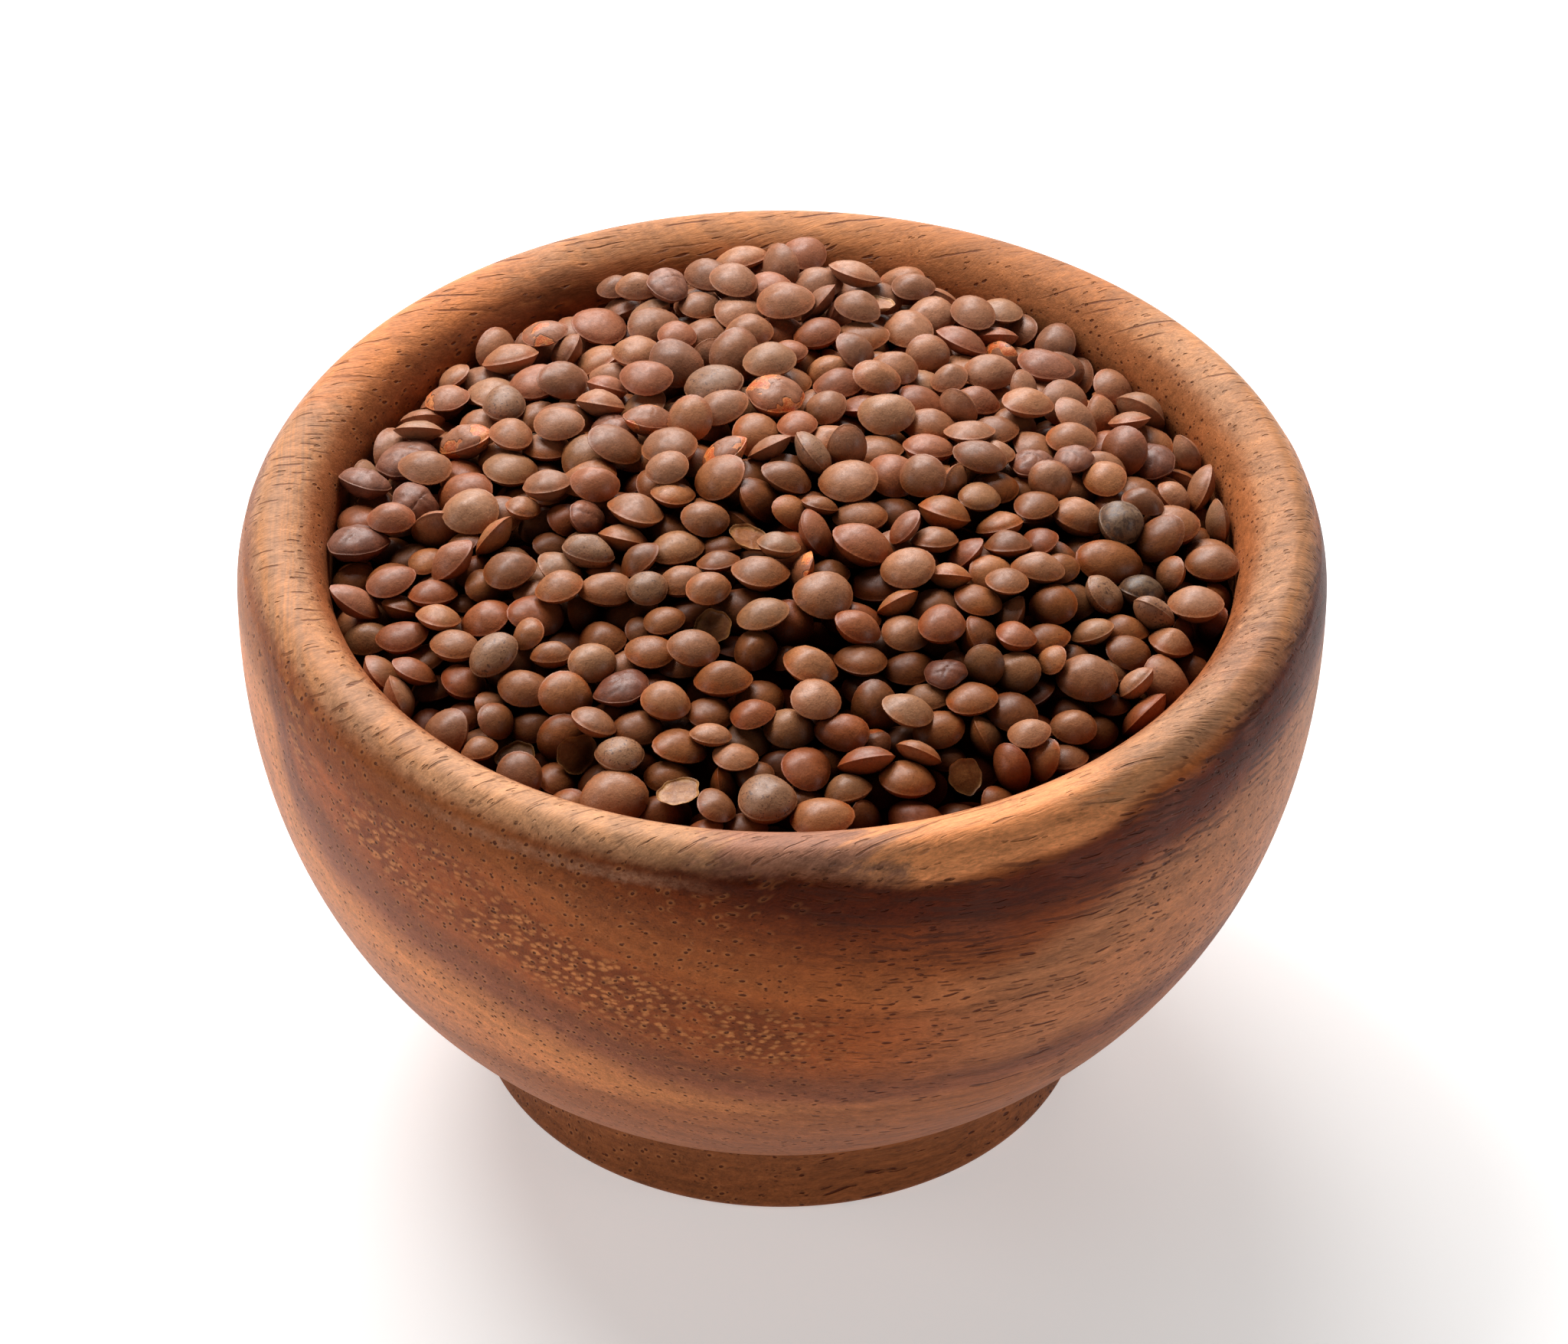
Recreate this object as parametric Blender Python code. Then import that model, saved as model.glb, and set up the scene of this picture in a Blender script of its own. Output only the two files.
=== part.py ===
"""Turned wooden bowl on a low foot, heaped with dry brown lentils.

Metres, +Z up. The origin is the centre of the foot's underside, where the bowl stands.
"""

import math
import random

import bmesh
import bpy
from mathutils import Euler, Matrix, Vector

MM = 0.001

# Outside of the bowl
RIM_RADIUS = 50.0 * MM  # widest circle of the bowl
WIDEST_HEIGHT = 53.0 * MM
BOWL_HEIGHT = 59.6 * MM  # top of the lip
LIP_RADIUS = 46.7 * MM  # circle along the top of the lip
BODY_DEPTH = 54.3 * MM  # half height of the rounded body, if it went on to its lowest point
BODY_FULLNESS = 2.26  # 2 is an ellipse, more is fuller
FOOT_RADIUS = 28.6 * MM
FOOT_HEIGHT = 7.6 * MM
FOOT_WAIST = 0.35 * MM  # how far the foot's side draws in at mid height
FOOT_EDGE = 0.8 * MM  # rounding where the foot meets the table
SHADOW_STEP = 0.5 * MM  # the body starts this much above the foot, and overhangs it

# Inside of the bowl
MOUTH_RADIUS = 41.6 * MM
MOUTH_HEIGHT = 54.4 * MM  # where the lip's inner curve meets the hollow
FLOOR_HEIGHT = 10.0 * MM
HOLLOW_FULLNESS = 2.6

# The heap of lentils
EDGE_HEIGHT = 55.4 * MM  # the heap's mean surface at the wall
DOME_RISE = 6.4 * MM  # its middle stands this much higher
HEAP_LEAN = 0.8 * MM  # and the +Y side lies this much higher than a level heap
MOUND_RISE = 3.2 * MM  # more lentils lie piled against the wall there
MOUND_PLACE = (-1.0 * MM, 36.0 * MM)
MOUND_REACH = (15.0 * MM, 9.0 * MM)
DOME_RINGS = 9
CORE_DEPTH = 1.3 * MM  # the core's top lies this much under the mean surface
WALL_GAP = 0.3 * MM
GRAIN_GAP = 0.45 * MM  # a grain keeps a little more from the wall, which is made of flat facets
GRAIN_COUNT = 206
GRAIN_DIAMETER = 4.9 * MM
GRAIN_SMALLEST = 0.84  # shares of the usual diameter
GRAIN_LARGEST = 1.16
GRAIN_FLATNESS = 0.47  # thickness over diameter
THICKNESS_SHARES = (0.9, 1.12)  # how much thinner or thicker a grain may be
CORNER_SHARES = (0.97, 1.06)  # how much nearer or farther a corner of its rim may lie
CAP_CORNERS = 3
CAP_SHARE = 0.5  # a cap's radius as a share of the grain's
GRAIN_SINK = 0.55 * MM  # a grain's centre lies this much under the mean surface
GRAIN_STRAY = 0.35 * MM  # how far a grain lies off its even spacing
GRAIN_TILT = math.radians(45)  # steepest lean off the surface
TILT_POWER = 1.2  # more than 1 makes slight leans the usual ones
RIM_MARGIN = 0.3  # the outermost grains' centres keep this share of a diameter from the wall
STEP_IN = 0.35 * MM  # a grain that doesn't fit moves towards the axis by this much at a time
STEPS_IN = 12
SEED = 41

BOWL_SIDES = 56
CORE_SIDES = 32
SHARP_EDGE = math.radians(40)
GOLDEN_ANGLE = math.pi * (3 - math.sqrt(5))


def clear_scene():
    for item in list(bpy.data.objects):
        bpy.data.objects.remove(item, do_unlink=True)


def plain_material(name, colour, roughness):
    material = bpy.data.materials.new(name)
    material.use_nodes = True
    shader = material.node_tree.nodes["Principled BSDF"]
    shader.inputs["Base Color"].default_value = (*colour, 1.0)
    shader.inputs["Roughness"].default_value = roughness
    shader.inputs["Metallic"].default_value = 0.0
    return material


def spaced(first, last, count):
    """Count values from first to last, both included."""
    return [first + (last - first) * i / (count - 1) for i in range(count)]


def quarter(count):
    """Angles of a quarter turn, without its first one."""
    return spaced(0.0, math.pi / 2, count)[1:]


def body_radius(z):
    """Outer radius of the rounded body at a height."""
    share = (WIDEST_HEIGHT - z) / BODY_DEPTH
    return RIM_RADIUS * math.sqrt(1 - share**BODY_FULLNESS)


def hollow_radius(z):
    """Inner radius of the bowl at a height below its mouth."""
    share = (MOUTH_HEIGHT - z) / (MOUTH_HEIGHT - FLOOR_HEIGHT)
    return MOUTH_RADIUS * math.sqrt(max(0.0, 1 - share**HOLLOW_FULLNESS))


def wall_radius(z):
    """How far out the free space reaches at a height, inside the bowl or between its lips."""
    if z <= FLOOR_HEIGHT:
        return 0.0
    if z <= MOUTH_HEIGHT:
        return hollow_radius(z)
    if z >= BOWL_HEIGHT:
        return RIM_RADIUS
    share = (z - MOUTH_HEIGHT) / (BOWL_HEIGHT - MOUTH_HEIGHT)
    return LIP_RADIUS - (LIP_RADIUS - MOUTH_RADIUS) * math.sqrt(1 - share**2)


def hollow_outline(inset, count):
    """(radius, height) points up the hollow, from its floor's centre to the mouth, moved in by inset."""
    depth = MOUTH_HEIGHT - FLOOR_HEIGHT
    points = []
    for turn in spaced(0.0, math.pi / 2, count):
        z = MOUTH_HEIGHT - depth * math.cos(turn) ** (2 / HOLLOW_FULLNESS)
        r = MOUTH_RADIUS * math.sin(turn)
        points.append((r * (1 - inset / MOUTH_RADIUS), z + inset * (MOUTH_HEIGHT - z) / depth))
    return points


def bowl_outline():
    """(radius, height) points from the floor's centre, up the hollow, over the lip and down to the foot."""
    points = hollow_outline(0.0, 9)
    lip_rise = BOWL_HEIGHT - MOUTH_HEIGHT
    for turn in quarter(6):
        r = LIP_RADIUS - (LIP_RADIUS - MOUTH_RADIUS) * math.cos(turn)
        points.append((r, MOUTH_HEIGHT + lip_rise * math.sin(turn)))
    shoulder_rise = BOWL_HEIGHT - WIDEST_HEIGHT
    for turn in quarter(6):
        r = LIP_RADIUS + (RIM_RADIUS - LIP_RADIUS) * math.sin(turn)
        points.append((r, WIDEST_HEIGHT + shoulder_rise * math.cos(turn)))
    body_foot = FOOT_HEIGHT + SHADOW_STEP
    for z in spaced(WIDEST_HEIGHT, body_foot, 12)[1:]:
        points.append((body_radius(z), z))
    for z in spaced(FOOT_HEIGHT, FOOT_EDGE, 5):
        share = (z - FOOT_EDGE) / (FOOT_HEIGHT - FOOT_EDGE)
        points.append((FOOT_RADIUS - FOOT_WAIST * math.sin(math.pi * share), z))
    for turn in quarter(3):
        r = FOOT_RADIUS - FOOT_EDGE * (1 - math.cos(turn))
        points.append((r, FOOT_EDGE * (1 - math.sin(turn))))
    points.append((0.0, 0.0))
    return points


def dome_height(r):
    """Height of a level, even heap at a distance from the axis."""
    return EDGE_HEIGHT + DOME_RISE * (1 - (r / MOUTH_RADIUS) ** 2)


def swell(x, y):
    """How much higher the heap lies than the even dome, by its lean and its pile at one side."""
    across = (x - MOUND_PLACE[0]) / MOUND_REACH[0]
    along = (y - MOUND_PLACE[1]) / MOUND_REACH[1]
    return HEAP_LEAN * y / MOUTH_RADIUS + MOUND_RISE * math.exp(-(across**2) - along**2)


def surface_height(x, y):
    """Mean height of the heap."""
    return dome_height(math.hypot(x, y)) + swell(x, y)


def core_outline():
    """(radius, height) points from the core's top centre, down its dome and its side, to its lowest point."""
    side = [p for p in reversed(hollow_outline(WALL_GAP, 7)) if p[1] <= EDGE_HEIGHT - CORE_DEPTH]
    rim = side[0][0]
    dome = [(r, dome_height(r) - CORE_DEPTH) for r in spaced(0.0, rim, DOME_RINGS)]
    return dome + side[1:]


def swell_top(core):
    """Moves the core's dome up or down to the heap's uneven form."""
    for vertex in core.data.vertices:
        if vertex.co.z > MOUTH_HEIGHT - CORE_DEPTH:
            vertex.co.z += swell(vertex.co.x, vertex.co.y)


def turned(name, outline, sides, material):
    """A round solid, turned about +Z from (radius, height) points that run down its outer side."""
    mesh = bpy.data.meshes.new(name)
    points = [(r, 0.0, z) for r, z in outline]
    mesh.from_pydata(points, [(i, i + 1) for i in range(len(points) - 1)], [])
    item = bpy.data.objects.new(name, mesh)
    bpy.context.scene.collection.objects.link(item)
    screw = item.modifiers.new("turning", "SCREW")
    screw.axis = "Z"
    screw.steps = screw.render_steps = sides
    screw.use_merge_vertices = True
    screw.merge_threshold = 0.00001
    bake_modifiers(item)
    item.data.shade_smooth()
    item.data.set_sharp_from_angle(angle=SHARP_EDGE)
    item.data.materials.append(material)
    return item


def bake_modifiers(item):
    """Puts what the modifiers make into the object's own mesh."""
    bpy.context.view_layer.update()
    graph = bpy.context.evaluated_depsgraph_get()
    made = bpy.data.meshes.new_from_object(item.evaluated_get(graph))
    item.modifiers.clear()
    item.data = made


def grain_mesh(diameter, rng):
    """A lentil with few sides: a rim between two small flat caps, each with half the rim's corners."""
    mesh = bpy.data.meshes.new("grain")
    build = bmesh.new()
    radius = diameter / 2
    thickness = diameter * GRAIN_FLATNESS * rng.uniform(*THICKNESS_SHARES)
    corners = 2 * CAP_CORNERS
    rim = []
    for i in range(corners):
        turn = 2 * math.pi / corners * i
        reach = radius * rng.uniform(*CORNER_SHARES)
        rim.append(build.verts.new((reach * math.cos(turn), reach * math.sin(turn), 0.0)))
    for side in (1, -1):
        cap = []
        for k in range(CAP_CORNERS):
            turn = 2 * math.pi / corners * (2 * k + 1)
            x, y = CAP_SHARE * radius * math.cos(turn), CAP_SHARE * radius * math.sin(turn)
            cap.append(build.verts.new((x, y, side * thickness / 2)))
        for k in range(CAP_CORNERS):
            before, at, after = rim[2 * k], rim[2 * k + 1], rim[(2 * k + 2) % corners]
            build.faces.new((before, at, cap[k]))
            build.faces.new((at, after, cap[k]))
            build.faces.new((cap[k - 1], before, cap[k]))
        build.faces.new(cap)
    bmesh.ops.recalc_face_normals(build, faces=build.faces)
    build.to_mesh(mesh)
    build.free()
    return mesh


def surface_turn(x, y):
    """Turns +Z to the heap's outward normal."""
    rise_x = surface_height(x + MM, y) - surface_height(x - MM, y)
    rise_y = surface_height(x, y + MM) - surface_height(x, y - MM)
    normal = Vector((-rise_x, -rise_y, 2 * MM)).normalized()
    return normal.to_track_quat("Z", "Y").to_matrix().to_4x4()


def fits_in_bowl(mesh, place):
    """True if every corner of the grain keeps its gap to the bowl."""
    for vertex in mesh.vertices:
        p = place @ vertex.co
        if math.hypot(p.x, p.y) > wall_radius(p.z) - GRAIN_GAP:
            return False
    return True


def place_grain(mesh, r, angle, lean):
    """The grain's place on the heap, moved in from the wall until it fits, or None."""
    for step in range(STEPS_IN):
        reach = r - step * STEP_IN
        x, y = reach * math.cos(angle), reach * math.sin(angle)
        centre = Vector((x, y, surface_height(x, y) - GRAIN_SINK))
        place = Matrix.Translation(centre) @ surface_turn(x, y) @ lean
        if fits_in_bowl(mesh, place):
            return place
    return None


def scatter_grains(collection):
    """Lentils spread evenly over the heap on a sunflower spiral, each one strayed, turned and leant a little."""
    rng = random.Random(SEED)
    reach = MOUTH_RADIUS - GRAIN_GAP - GRAIN_DIAMETER * RIM_MARGIN
    for i in range(GRAIN_COUNT):
        share = rng.uniform(GRAIN_SMALLEST, GRAIN_LARGEST)
        mesh = grain_mesh(GRAIN_DIAMETER * share, rng)
        r = reach * math.sqrt((i + 0.5) / GRAIN_COUNT)
        angle = i * GOLDEN_ANGLE
        x = r * math.cos(angle) + rng.uniform(-GRAIN_STRAY, GRAIN_STRAY)
        y = r * math.sin(angle) + rng.uniform(-GRAIN_STRAY, GRAIN_STRAY)
        tilt = GRAIN_TILT * rng.random() ** TILT_POWER
        lean = Euler((tilt, 0.0, rng.uniform(0, 2 * math.pi))).to_matrix().to_4x4()
        lean = Matrix.Rotation(rng.uniform(0, 2 * math.pi), 4, "Z") @ lean
        place = place_grain(mesh, math.hypot(x, y), math.atan2(y, x), lean)
        if place is None:
            continue
        mesh.transform(place)
        collection.objects.link(bpy.data.objects.new(f"grain_{i:03d}", mesh))


def fuse(item, collection):
    """Joins the collection's objects to the item, as one body, and removes them."""
    union = item.modifiers.new("fusing", "BOOLEAN")
    union.operation = "UNION"
    union.operand_type = "COLLECTION"
    union.collection = collection
    union.solver = "MANIFOLD"
    bake_modifiers(item)
    for grain in list(collection.objects):
        bpy.data.objects.remove(grain, do_unlink=True)
    bpy.data.collections.remove(collection)
    keep_largest_shell(item)


def keep_largest_shell(item):
    """Drops sealed hollows and loose scraps, and leaves one closed body of triangles."""
    build = bmesh.new()
    build.from_mesh(item.data)
    waiting = set(build.faces)
    shells = []
    while waiting:
        shell, edge = set(), [waiting.pop()]
        while edge:
            face = edge.pop()
            shell.add(face)
            for neighbour in {f for e in face.edges for f in e.link_faces}:
                if neighbour in waiting:
                    waiting.discard(neighbour)
                    edge.append(neighbour)
        shells.append(shell)
    shells.sort(key=len)
    extra = [face for shell in shells[:-1] for face in shell]
    bmesh.ops.delete(build, geom=extra, context="FACES")
    bmesh.ops.triangulate(build, faces=build.faces)
    build.to_mesh(item.data)
    build.free()


def make_bowl():
    wood = plain_material("turned_wood", (0.33, 0.15, 0.07), 0.42)
    return turned("bowl", bowl_outline(), BOWL_SIDES, wood)


def make_lentils():
    skin = plain_material("lentil_skin", (0.24, 0.135, 0.085), 0.5)
    heap = turned("lentils", core_outline(), CORE_SIDES, skin)
    swell_top(heap)
    grains = bpy.data.collections.new("grains")
    bpy.context.scene.collection.children.link(grains)
    scatter_grains(grains)
    fuse(heap, grains)
    return heap


def main():
    clear_scene()
    make_bowl()
    make_lentils()


main()
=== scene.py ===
# A turned wooden bowl heaped with dry brown lentils. Sizes in the dictionaries are millimetres.
import math
from types import SimpleNamespace

import bpy
import numpy as np
from mathutils import Matrix, Vector


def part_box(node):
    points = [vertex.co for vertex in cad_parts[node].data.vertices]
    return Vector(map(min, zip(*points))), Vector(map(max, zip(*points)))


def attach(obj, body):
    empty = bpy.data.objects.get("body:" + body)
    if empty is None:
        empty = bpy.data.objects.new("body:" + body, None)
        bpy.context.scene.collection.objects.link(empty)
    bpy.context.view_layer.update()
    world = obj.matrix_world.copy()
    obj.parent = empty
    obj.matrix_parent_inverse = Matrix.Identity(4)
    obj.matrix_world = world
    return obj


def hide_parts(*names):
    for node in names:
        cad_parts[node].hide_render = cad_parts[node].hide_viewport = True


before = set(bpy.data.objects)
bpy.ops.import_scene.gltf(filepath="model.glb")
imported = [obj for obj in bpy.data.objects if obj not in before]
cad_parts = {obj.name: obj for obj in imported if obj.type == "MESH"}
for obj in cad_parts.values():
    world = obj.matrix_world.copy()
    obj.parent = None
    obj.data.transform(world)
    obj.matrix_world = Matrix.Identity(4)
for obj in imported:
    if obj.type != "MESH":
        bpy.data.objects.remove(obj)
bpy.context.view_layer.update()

mm = 0.001
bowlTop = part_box("bowl")[1].z / mm  # height of the lip
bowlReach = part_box("bowl")[1].x / mm  # radius of the widest circle


def tint(red, green, blue):  # a colour as seen on a screen, 0 to 255, made linear
    return tuple(pow(c / 255, 2.2) for c in (red, green, blue)) + (1.0,)


def direction(azimuth, elevation):
    a, e = math.radians(azimuth), math.radians(elevation)
    return Vector((math.cos(a) * math.cos(e), math.sin(a) * math.cos(e), math.sin(e)))


# Shader maths
class Flow:  # one output socket
    def __init__(self, bench, socket):
        self.bench = bench
        self.socket = socket

    def maths(self, operation, *values):
        return self.bench.maths(operation, *values)

    def __add__(self, other):
        return self.maths("ADD", self, other)

    __radd__ = __add__

    def __sub__(self, other):
        return self.maths("SUBTRACT", self, other)

    def __rsub__(self, other):
        return self.maths("SUBTRACT", other, self)

    def __mul__(self, other):
        return self.maths("MULTIPLY", self, other)

    __rmul__ = __mul__

    def __truediv__(self, other):
        return self.maths("DIVIDE", self, other)

    def __rtruediv__(self, other):
        return self.maths("DIVIDE", other, self)

    def __pow__(self, other):
        return self.maths("POWER", self, other)

    def __rpow__(self, other):
        return self.maths("POWER", other, self)


class Bench:  # one material and what is wired in it
    def __init__(self, name, **fixed):
        self.material = bpy.data.materials.new(name)
        self.material.use_nodes = True
        self.tree = self.material.node_tree
        self.shader = self.tree.nodes["Principled BSDF"]
        for socket, value in fixed.items():
            self.shader.inputs[socket.replace("_", " ")].default_value = value

    def feed(self, socket, value):
        if isinstance(value, Flow):
            self.tree.links.new(value.socket, socket)
        else:
            socket.default_value = value

    def add(self, kind, settings, values, out=0):
        node = self.tree.nodes.new(kind)
        for key, value in settings.items():
            if key == "stops":
                self.fillRamp(node.color_ramp, value)
            else:
                setattr(node, key, value)
        for socket, value in values.items():
            self.feed(node.inputs[socket], value)
        return Flow(self, node.outputs[out])

    def fillRamp(self, ramp, stops):
        while len(ramp.elements) < len(stops):
            ramp.elements.new(1.0)
        for element, (place, colour) in zip(ramp.elements, stops):
            element.position = place
            element.color = colour

    def maths(self, operation, *values):
        return self.add("ShaderNodeMath", {"operation": operation}, dict(enumerate(values)))

    def finish(self, **inputs):
        for socket, value in inputs.items():
            self.feed(self.shader.inputs[socket.replace("_", " ")], value)
        return self.material

    def place(self):  # millimetres in the object's own frame
        metres = self.add("ShaderNodeTexCoord", {}, {}, "Object")
        return self.scaled(metres, 1000.0)

    def reading(self, name, out="Fac"):  # a value kept on the mesh
        return self.add("ShaderNodeAttribute", {"attribute_name": name}, {}, out)

    def scaled(self, vector, amount):  # a vector or a colour times a value
        return self.add("ShaderNodeVectorMath", {"operation": "SCALE"}, {0: vector, "Scale": amount})

    def moved(self, vector, other):
        return self.add("ShaderNodeVectorMath", {"operation": "ADD"}, {0: vector, 1: other})

    def along(self, vector, way):
        return self.add("ShaderNodeVectorMath", {"operation": "DOT_PRODUCT"}, {0: vector, 1: tuple(way)}, 1)

    def parts(self, vector):  # x, y and z
        return [self.add("ShaderNodeSeparateXYZ", {}, {0: vector}, i) for i in range(3)]

    def joined(self, x, y, z):
        return self.add("ShaderNodeCombineXYZ", {}, {0: x, 1: y, 2: z})

    def noise(self, vector, perMm, detail=2.0, roughness=0.5, out=0):
        return self.add("ShaderNodeTexNoise", {}, {"Vector": vector, "Scale": perMm, "Detail": detail,
                                                   "Roughness": roughness}, out)

    def drift(self, vector, form):  # noise about zero
        return self.noise(vector, *form) - 0.5

    def cells(self, vector, perMm, out="Distance"):  # over x and y alone
        return self.add("ShaderNodeTexVoronoi", {"voronoi_dimensions": "2D"},
                        {"Vector": vector, "Scale": perMm}, out)

    def size(self, value):  # without its sign
        return self.maths("ABSOLUTE", value)

    def strokes(self, along, across, form):  # short thin marks spread at random
        vector = self.joined(along * form["stretch"], across, 0.0)
        px, py, _ = self.parts(self.cells(vector, 1 / form["spacing"], "Position"))
        first, second, _ = self.parts(self.cells(vector, 1 / form["spacing"], "Color"))
        length, width, share = form["length"], form["width"], form["share"]
        far = self.size(along - px / form["stretch"]) / (first * 0.8 + 0.4)  # some three times as long
        off = self.size(across - py + (self.noise(vector, 4.0) - 0.5) * width)  # none quite straight
        mark = 1 - self.step(far, length * 0.3, length * 0.5)
        mark = mark * (1 - self.step(off, width * 0.3, width * 0.6))
        return mark * self.step(second, 1 - share, 1.05 - share)

    def step(self, value, low, high):  # 0 below low, 1 above high, smooth between them
        return self.add("ShaderNodeMapRange", {"interpolation_type": "SMOOTHSTEP"},
                        {"Value": value, "From Min": low, "From Max": high})

    def band(self, value, edges):  # 1 between the middle two edges, 0 outside the outer two
        start, full, fade, end = edges
        return self.step(value, start, full) * (1 - self.step(value, fade, end))

    def ramp(self, value, low, high, stops):  # stops at real places from low to high
        share = self.add("ShaderNodeMapRange", {}, {"Value": value, "From Min": low, "From Max": high})
        spread = [((at - low) / (high - low), colour) for at, colour in stops]
        return self.add("ShaderNodeValToRGB", {"stops": spread}, {"Fac": share})

    def mix(self, share, first, second, blend="MIX"):
        return self.add("ShaderNodeMix", {"data_type": "RGBA", "blend_type": blend},
                        {0: share, 6: first, 7: second}, 2)

    def laid(self, colour, mask, coat, blend="MIX"):  # a coat with its own colour and share over a colour
        return self.mix(mask * coat["share"], colour, coat["colour"], blend)

    def bump(self, height, depth):
        return self.add("ShaderNodeBump", {}, {"Height": height, "Distance": depth, "Strength": 1.0})


def keepMesh(name, points, triangles, material, readings=None):
    mesh = bpy.data.meshes.new(name)
    mesh.vertices.add(len(points))
    mesh.vertices.foreach_set("co", (points * mm).astype(np.float32).ravel())
    mesh.loops.add(triangles.size)
    mesh.loops.foreach_set("vertex_index", triangles.astype(np.int32).ravel())
    mesh.polygons.add(len(triangles))
    mesh.polygons.foreach_set("loop_start", np.arange(0, triangles.size, 3, dtype=np.int32))
    mesh.update(calc_edges=True)
    mesh.validate()
    for key, values in (readings or {}).items():
        form = "FLOAT_VECTOR" if values.ndim == 2 else "FLOAT"
        kept = mesh.attributes.new(key, form, "POINT")
        kept.data.foreach_set("vector" if values.ndim == 2 else "value", values.astype(np.float32).ravel())
    mesh.shade_smooth()
    mesh.materials.append(material)
    piece = bpy.data.objects.new(name, mesh)
    bpy.context.scene.collection.objects.link(piece)
    return piece


def turnedFaces(rings, sides, start, first, last):  # round a stack of rings, to a point at each end
    here = np.arange(sides)
    after = (here + 1) % sides
    faces = [np.stack([np.full(sides, first), start + here, start + after], 1)]
    for a in range(start, start + (rings - 1) * sides, sides):
        upper, lower = a + here, a + sides + here
        faces += [np.stack([upper, lower, a + after], 1), np.stack([a + after, lower, a + sides + after], 1)]
    bottom = start + (rings - 1) * sides
    faces.append(np.stack([np.full(sides, last), bottom + after, bottom + here], 1))
    return np.concatenate(faces)


# Camera
cameraView = {
    "aim": (0.23, 0.0, 41.28),
    "distance": 850.0,
    "elevation": 39.1,
    "roll": 0.29,
    "lens": 210.8,
    "sensor": 36.0,
    "clip": (50.0, 20000.0),
}


def placeCamera(v):
    elevation = math.radians(v["elevation"])
    roll = math.radians(v["roll"])
    forward = Vector((0.0, math.cos(elevation), -math.sin(elevation)))
    level = Vector((1.0, 0.0, 0.0))
    upright = level.cross(forward)
    right = math.cos(roll) * level + math.sin(roll) * upright
    up = -math.sin(roll) * level + math.cos(roll) * upright
    data = bpy.data.cameras.new("camera")
    data.lens = v["lens"]
    data.sensor_width = v["sensor"]
    data.clip_start, data.clip_end = [distance * mm for distance in v["clip"]]
    camera = bpy.data.objects.new("camera", data)
    turn = Matrix((right, up, -forward)).transposed()
    place = (Vector(v["aim"]) - forward * v["distance"]) * mm
    camera.matrix_world = Matrix.Translation(place) @ turn.to_4x4()
    bpy.context.scene.collection.objects.link(camera)
    bpy.context.scene.camera = camera


# Light and floor
studio = {
    "floorSize": 6000.0,
    "floorDrop": 0.05,
    "floorTone": (0.80, 0.795, 0.79, 1.0),
    "floorGlow": 0.44,  # lit from below a little, as a light table
    "sky": (1.0, 0.99, 0.98, 1.0),
    "skyStrength": 0.06,
    "lampAim": (0.0, 0.0, 40.0),
    "lamps": [  # name, azimuth, elevation, distance, size and power
        ("keyLight", 132, 52, 700, 360, 3.85),
        ("topLight", 92, 50, 360, 200, 0.94),
        ("backLight", 92, 20, 900, 600, 4.2),
        ("leftFill", -170, 24, 1100, 420, 1.50),
        ("rightFill", -14, 16, 1100, 420, 1.25),
        ("frontFill", -95, 20, 1100, 360, 0.44),
    ],
}


def lightStudio(s):
    world = bpy.data.worlds.new("studio")
    world.use_nodes = True
    background = world.node_tree.nodes["Background"]
    background.inputs["Color"].default_value = s["sky"]
    background.inputs["Strength"].default_value = s["skyStrength"]
    bpy.context.scene.world = world
    for name, azimuth, elevation, distance, size, power in s["lamps"]:
        data = bpy.data.lights.new(name, "AREA")
        data.shape = "DISK"
        data.size = size * mm
        data.energy = power
        lamp = bpy.data.objects.new(name, data)
        away = direction(azimuth, elevation)
        lamp.location = (Vector(s["lampAim"]) + away * distance) * mm
        lamp.rotation_euler = away.to_track_quat("Z", "Y").to_euler()
        bpy.context.scene.collection.objects.link(lamp)
    paint = Bench("floorPaint", Roughness=0.9, Emission_Strength=s["floorGlow"], Emission_Color=s["sky"])
    half, low = s["floorSize"] / 2, -s["floorDrop"]
    corners = np.array([(-half, -half, low), (half, -half, low), (half, half, low), (-half, half, low)])
    pale = paint.finish(Base_Color=s["floorTone"])
    floor = keepMesh("floor", corners, np.array([(0, 1, 2), (0, 2, 3)]), pale)


# Bowl
bowlForm = {
    "reach": bowlReach,  # radius of the widest circle
    "widestHeight": 53.0,
    "top": bowlTop,
    "lipRadius": 46.7,  # circle along the top of the lip
    "bodyDepth": 54.3,
    "bodyFullness": 2.26,
    "footRadius": 28.6,
    "footHeight": 7.6,
    "footWaist": 0.35,
    "footEdge": 0.8,
    "mouthRadius": 41.6,
    "mouthHeight": 54.4,
    "floorHeight": 10.0,
    "hollowFullness": 2.6,
    "curl": 0.5,  # how far the body's edge curls under to the foot
    "curlShares": (0.85, 0.6, 0.35, 0.12),
    "underside": (0.66, 0.33, 0.0),  # rings across the flat underside, as shares of its radius
    "steps": {"hollow": 26, "mouth": 19, "crest": 31, "body": 42, "foot": 10, "footEdge": 6},
    "sides": 320,
    "edgeHeight": 57.0,  # a slight worn edge round the shoulder
    "edgeRise": 0.10,
    "edgeWidth": 0.32,
    "waviness": 0.07,
    "waves": [(0.5, 2, 0.6), (0.3, 3, 2.1), (0.2, 7, 4.0)],  # share, number round the bowl, start
    "wavesFrom": (20.0, 6.0),  # from this radius outwards and this height upwards
    "wavesFull": (40.0, 14.0),
}


def lipHeight(f, r):  # height of the lip's inner curve at a distance from the axis
    share = np.clip((f["lipRadius"] - r) / (f["lipRadius"] - f["mouthRadius"]), 0, 1)
    return f["mouthHeight"] + (f["top"] - f["mouthHeight"]) * np.sqrt(1 - share**2)


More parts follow.
